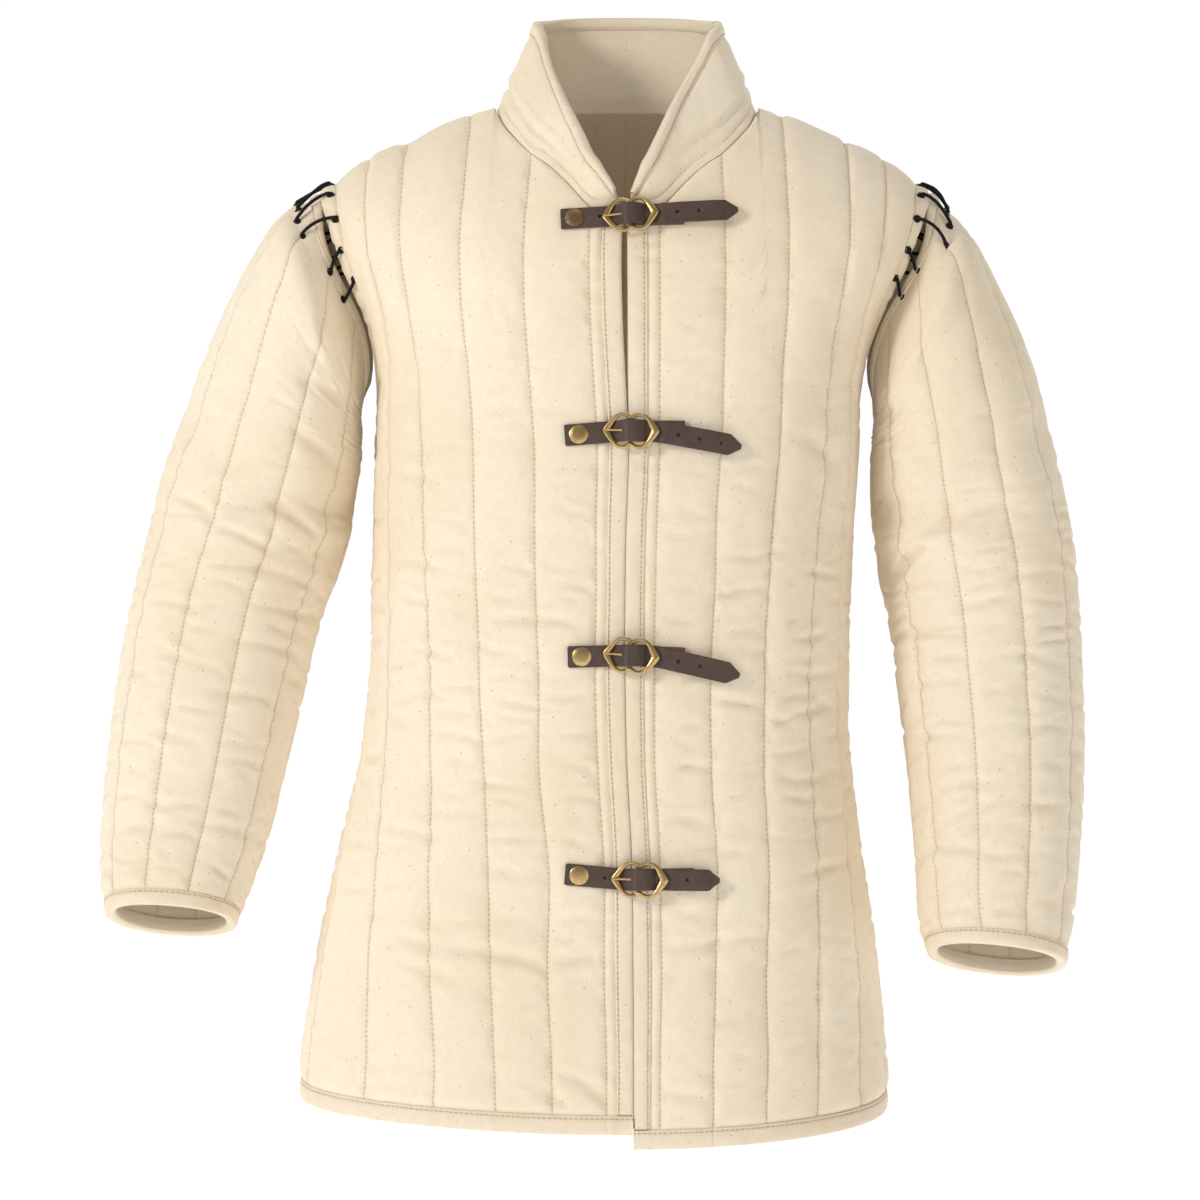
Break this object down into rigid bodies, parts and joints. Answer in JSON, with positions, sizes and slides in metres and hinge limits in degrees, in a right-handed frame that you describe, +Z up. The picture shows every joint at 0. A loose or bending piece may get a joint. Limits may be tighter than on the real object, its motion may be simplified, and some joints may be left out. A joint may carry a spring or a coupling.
{
  "type": "gambeson",
  "caption": "Quilted cream cotton arming jacket with a standing collar, laced sleeves and a front closed by leather straps with brass buckles.",
  "frame": {"origin": "middle of the neck's base at shoulder level, where the jacket is held when it is worn or hung", "axes": "+Z up along the body, front towards -Y, the wearer's left towards +X"},
  "size_m": [0.7712, 0.2997, 0.8945],
  "materials": {
    "cotton": "plain weave, undyed, matte",
    "tape": "plain cotton tape, matte",
    "cord": "black round cord with a slight sheen",
    "leather": "dark brown, soft satin",
    "brass": "antique, softly polished"
  },
  "bodies": {
    "root": {"front_right": "cotton", "front_left": "cotton", "back": "cotton", "collar": "cotton", "sleeve_right": "cotton", "sleeve_left": "cotton", "collar_binding": "tape", "front_right_edge_binding": "tape", "front_left_edge_binding": "tape", "front_right_hem_binding": "tape", "front_left_hem_binding": "tape", "back_hem_binding": "tape", "sleeve_right_cuff_binding": "tape", "sleeve_left_cuff_binding": "tape", "sleeve_right_head_binding": "tape", "sleeve_left_head_binding": "tape", "lace_right": "cord", "lace_left": "cord", "strap_1": "leather", "strap_1_chape": "leather", "strap_1_buckle": "brass", "strap_1_prong": "brass", "strap_1_rivet": "brass", "strap_1_chape_rivet": "brass", "strap_2": "leather", "strap_2_chape": "leather", "strap_2_buckle": "brass", "strap_2_prong": "brass", "strap_2_rivet": "brass", "strap_2_chape_rivet": "brass", "strap_3": "leather", "strap_3_chape": "leather", "strap_3_buckle": "brass", "strap_3_prong": "brass", "strap_3_rivet": "brass", "strap_3_chape_rivet": "brass", "strap_4": "leather", "strap_4_chape": "leather", "strap_4_buckle": "brass", "strap_4_prong": "brass", "strap_4_rivet": "brass", "strap_4_chape_rivet": "brass"}
  },
  "joints": []
}
